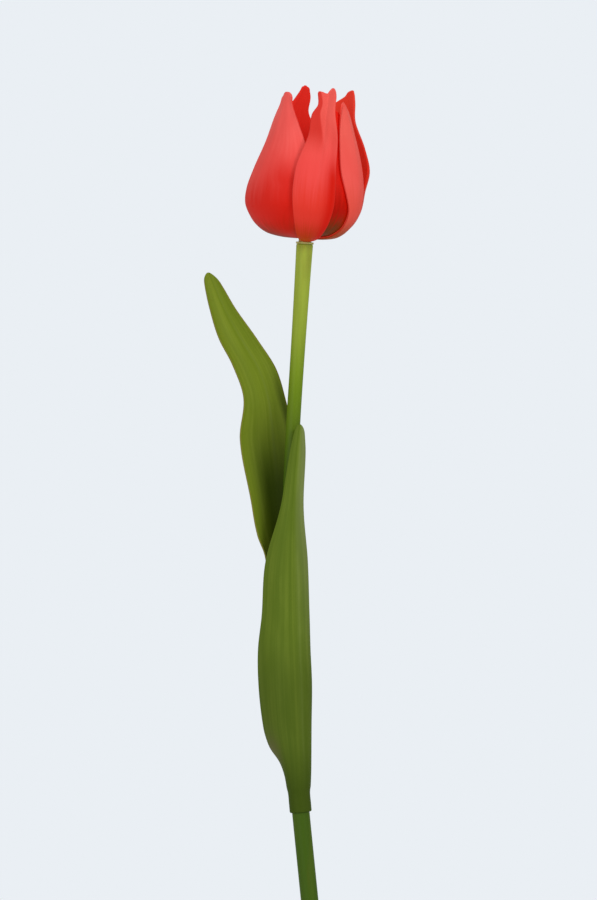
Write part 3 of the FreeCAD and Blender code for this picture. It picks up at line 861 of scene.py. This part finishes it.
def make_leaf(name, paint):
    """A sheet that is a closed sleeve round the stem and opens into a cupped blade above it."""
    leaf = LEAVES[name]
    rows = []
    sleeve_radius = stem_radius(leaf.start) + SLEEVE_RISE
    behind = -sleeve_radius if leaf.side == FRONT else sleeve_radius
    for along in (0, SLEEVE_LENGTH / 2, SLEEVE_LENGTH):
        rows.append((along, 0, behind, sleeve_radius, FULL_SPREAD, sleeve_radius, FULL_SPREAD))
    for share, middle, (left_share, left_spread), (right_share, right_spread) in leaf.stations:
        x, y = (LEAF_REACH * place_share for place_share in middle)
        left_cup = LEAF_REACH * left_share
        right_cup = LEAF_REACH * right_share
        rows.append((leaf.length * share, x, y, left_cup, left_spread, right_cup, right_spread))
    knots, *columns = zip(*rows)

    def place(across, along):
        at = along * (leaf.length - LEAF_CREST * (1 - math.sqrt(max(1 - across**2, 0))))
        station = [smooth(knots, column, at) for column in columns]
        x, y, left_cup, left_spread, right_cup, right_spread = station
        cup, spread = (right_cup, right_spread) if across > 0 else (left_cup, left_spread)
        angle = across * math.radians(min(spread, FULL_SPREAD))
        local = Vector((cup * math.cos(angle) - cup, cup * math.sin(angle), 0))
        return spine_frame(leaf.start + at) @ shifted(x, y, 0) @ facing(leaf.side) @ local

    piece = sheet_of(name, *LEAF_GRID, place)
    mark_sides(piece, LEAF_THICKNESS)
    apply_modifier(piece, "SUBSURF", levels=1, render_levels=1)
    finish(piece, leaf.node, paint, leaf.node)


def make_stem(paint):
    """The bored green stem as one closed skin: up its outside, over the top, down the socket and the bore."""
    outline = [(STEM_RADIUS - STEM_EDGE, 0)]
    for step in range(STEM_STEPS + 1):
        along = STEM_EDGE + (SPINE_LENGTH - 2 * STEM_EDGE) * step / STEM_STEPS
        outline.append((stem_radius(along), along))
    outline.append((TOP_RADIUS - STEM_EDGE, SPINE_LENGTH))
    outline.append((SOCKET_RADIUS, SPINE_LENGTH))
    outline.append((SOCKET_RADIUS, SPINE_LENGTH - SOCKET_DEPTH))
    for step in range(STEM_STEPS + 1):
        along = (SPINE_LENGTH - SOCKET_DEPTH) * (1 - step / STEM_STEPS)
        outline.append((WIRE_BORE_RADIUS, along))
    outline.append(outline[0])

    def place(across, along):
        radius, height = outline[round(along * (len(outline) - 1))]
        angle = across * math.pi
        return spine_frame(height) @ Vector((radius * math.sin(angle), -radius * math.cos(angle), 0))

    piece = sheet_of("stem_skin", STEM_SIDES, len(outline) - 1, place)
    round_edges(piece, STEM_ROUNDING, segments=2, degrees=35)
    finish(piece, "stem", paint, "stem_tube")


def raise_rings(name, sides, rings, at):
    """A solid raised from a disc, ring by ring, where a ring is a radius and a height, then put in place."""
    (radius, height), *rest = rings
    piece = disc(name, sides, radius, height)
    bpy.ops.object.transform_apply(location=True, rotation=True, scale=True)
    bpy.ops.object.mode_set(mode="EDIT")
    bpy.ops.mesh.select_all(action="SELECT")
    for next_radius, next_height in rest:
        move = {"value": (0, 0, next_height - height)}
        bpy.ops.mesh.extrude_region_move(TRANSFORM_OT_translate=move)
        grow = next_radius / radius
        bpy.ops.transform.resize(value=(grow, grow, 1), center_override=(0, 0, next_height))
        radius, height = next_radius, next_height
    bpy.ops.mesh.select_all(action="SELECT")
    bpy.ops.mesh.normals_make_consistent(inside=False)
    bpy.ops.object.mode_set(mode="OBJECT")
    piece.data.transform(at)
    return piece


def make_receptacle(paint):
    """The hub: its peg, the flange, the root that the claws lie round, and the cap."""
    rings = (
        (PEG_RADIUS * PEG_TIP_SHARE, -PEG_LENGTH),
        (PEG_RADIUS, -PEG_LENGTH + PEG_CHAMFER),
        (PEG_RADIUS, SEAT_GAP),
        (FLANGE_RADIUS, SEAT_GAP),
        (FLANGE_RADIUS, SEAT_GAP + FLANGE_HEIGHT),
        (ROOT_RADIUS, SEAT_GAP + FLANGE_HEIGHT),
        (ROOT_RADIUS, CAP_BASE),
        (CAP_RADIUS, CAP_BASE + CAP_RELIEF),
        (CAP_RADIUS * CAP_BAND_SHARE, CAP_BASE + CAP_RELIEF + CAP_BAND),
        (CAP_RADIUS * CAP_TOP_SHARE, CAP_TOP),
    )
    piece = raise_rings("hub", HUB_SIDES, rings, HEAD_FRAME)
    round_edges(piece, HUB_ROUNDING, segments=3, degrees=30)
    finish(piece, "head", paint, "receptacle")


def make_pistil(paint):
    """A column that swells in the middle, with three rough lobes at its top."""
    piece = raise_rings("pistil_column", PISTIL_SIDES, PISTIL_RINGS, Matrix.Identity(4))
    bpy.ops.object.mode_set(mode="EDIT")
    bpy.ops.mesh.select_mode(type="FACE")
    bpy.ops.object.mode_set(mode="OBJECT")
    for lobe in range(STIGMA_LOBES):
        azimuth = 2 * math.pi * lobe / STIGMA_LOBES
        out = Vector((math.cos(azimuth), math.sin(azimuth), 0))
        for face in piece.data.polygons:
            high = STIGMA_FOOT < face.center.z < STIGMA_TOP
            face.select = high and face.normal.dot(out) > STIGMA_FACING
        bpy.ops.object.mode_set(mode="EDIT")
        for step in range(LOBE_STEPS):
            move = {"value": tuple(out * LOBE_STEP + Vector((0, 0, LOBE_RISE)))}
            bpy.ops.mesh.extrude_region_move(TRANSFORM_OT_translate=move)
        bpy.ops.object.mode_set(mode="OBJECT")
    piece.data.transform(HEAD_FRAME @ shifted(0, 0, CAP_TOP))
    apply_modifier(piece, "SUBSURF", levels=1, render_levels=1)
    finish(piece, "head", paint, "pistil")


def make_stamen(index, thread_paint, anther_paint):
    """A thread with a long, slightly flat anther."""
    number = index + 1
    node = f"stamen_{number}"
    azimuth = FIRST_STAMEN_AZIMUTH + 360 / STAMENS * index
    at = HEAD_FRAME @ facing(azimuth) @ shifted(STAMEN_RING_RADIUS, 0, CAP_TOP) @ turned("Y", STAMEN_LEAN)
    thread = raise_rings(f"thread_{number}", STAMEN_SIDES, THREAD_RINGS, at)
    finish(thread, "head", thread_paint, node)
    flat = Matrix.Diagonal((ANTHER_DEPTH_SHARE, 1, 1, 1))
    anther = raise_rings(f"anther_{number}", STAMEN_SIDES, ANTHER_RINGS, at @ flat)
    apply_modifier(anther, "SUBSURF", levels=1, render_levels=1)
    finish(anther, "head", anther_paint, node)


def dress():
    """Put every piece of the flower in its place."""
    for name in PETALS:
        make_petal(name, petal_paint(name))
    # The two leaves share one green, painted darker on the lower leaf as shade and lighter on the upper leaf,
    # whose inner side is lit, as light.
    lower = leaf_paint(
        "lower_leaf_green",
        dark=srgb(86, 108, 26), light=srgb(114, 132, 44),
        foot=srgb(60, 78, 14), foot_end=0.2,
        vein=0.62, dust=0.4, shade=0.0,
    )
    # The upper leaf's dark foot is painted shadow of the lower leaf, and its inner side gets painted shade.
    upper = leaf_paint(
        "upper_leaf_green",
        dark=srgb(108, 127, 26), light=srgb(133, 149, 48),
        foot=srgb(44, 56, 0), foot_end=0.46,
        vein=0.4, dust=0.0, shade=0.95,
    )
    make_leaf("lower_leaf_blade", lower)
    make_leaf("upper_leaf_blade", upper)
    make_stem(stem_paint())
    make_receptacle(plain_paint("hub_green", srgb(196, 194, 118), srgb(176, 176, 92), 0.5))
    make_pistil(plain_paint("pistil_green", srgb(150, 165, 70), srgb(176, 186, 100), 0.5))
    pale = plain_paint("thread_green", srgb(176, 180, 110), srgb(150, 150, 80), 0.5)
    dark = plain_paint("anther_dark", srgb(44, 32, 26), srgb(70, 52, 34), 0.7)
    for index in range(STAMENS):
        make_stamen(index, pale, dark)
    steel = plain_paint("wire_steel", srgb(150, 150, 150), srgb(120, 120, 122), 0.35, metallic=1.0)
    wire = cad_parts["stem_wire"]
    wire.data.materials.clear()
    wire.data.materials.append(steel)


def make_camera(scene):
    """A long lens, so that the flower shows with hardly any perspective."""
    camera = bpy.data.cameras.new("camera")
    camera.sensor_fit = "VERTICAL"
    camera.sensor_height = SENSOR_HEIGHT
    camera.lens = SENSOR_HEIGHT * VIEW_DISTANCE / VIEW_HEIGHT
    camera.clip_end = VIEW_END
    eye = bpy.data.objects.new("camera", camera)
    eye.location = (VIEW_ACROSS, -VIEW_DISTANCE, VIEW_LEVEL)
    eye.rotation_euler = (math.pi / 2, 0, 0)
    scene.collection.objects.link(eye)
    scene.camera = eye


def make_lamps(scene):
    """Square lamps that all point at the flower."""
    target = Vector((VIEW_ACROSS, 0, LAMP_LEVEL))
    for name, (place, width, power) in LAMPS.items():
        light = bpy.data.lights.new(name, "AREA")
        light.shape = "SQUARE"
        light.size = width
        light.energy = power
        lamp = bpy.data.objects.new(name, light)
        lamp.location = place
        lamp.rotation_euler = (target - Vector(place)).to_track_quat("-Z", "Y").to_euler()
        scene.collection.objects.link(lamp)


def make_room(scene):
    """A pale backdrop that gives a weaker, warmer light than it shows."""
    room = bpy.data.worlds.new("studio")
    room.use_nodes = True
    nodes = room.node_tree.nodes
    links = room.node_tree.links
    backdrop = nodes["Background"]
    backdrop.inputs["Color"].default_value = srgb(234, 239, 244)
    glow = nodes.new("ShaderNodeBackground")
    glow.inputs["Color"].default_value = srgb(244, 242, 238)
    glow.inputs["Strength"].default_value = ROOM_LIGHT
    path = nodes.new("ShaderNodeLightPath")
    choice = nodes.new("ShaderNodeMixShader")
    links.new(path.outputs["Is Camera Ray"], choice.inputs[0])
    links.new(glow.outputs[0], choice.inputs[1])
    links.new(backdrop.outputs[0], choice.inputs[2])
    links.new(choice.outputs[0], nodes["World Output"].inputs["Surface"])
    scene.world = room


def make_floor():
    floor = disc("floor", FLOOR_SIDES, FLOOR_RADIUS, -FLOOR_DROP)
    floor.data.materials.append(plain_paint("floor_white", srgb(236, 240, 244), srgb(232, 236, 241), 0.6))


scene = bpy.context.scene
scene.view_settings.view_transform = "Standard"
make_camera(scene)
make_lamps(scene)
make_room(scene)
make_floor()
dress()
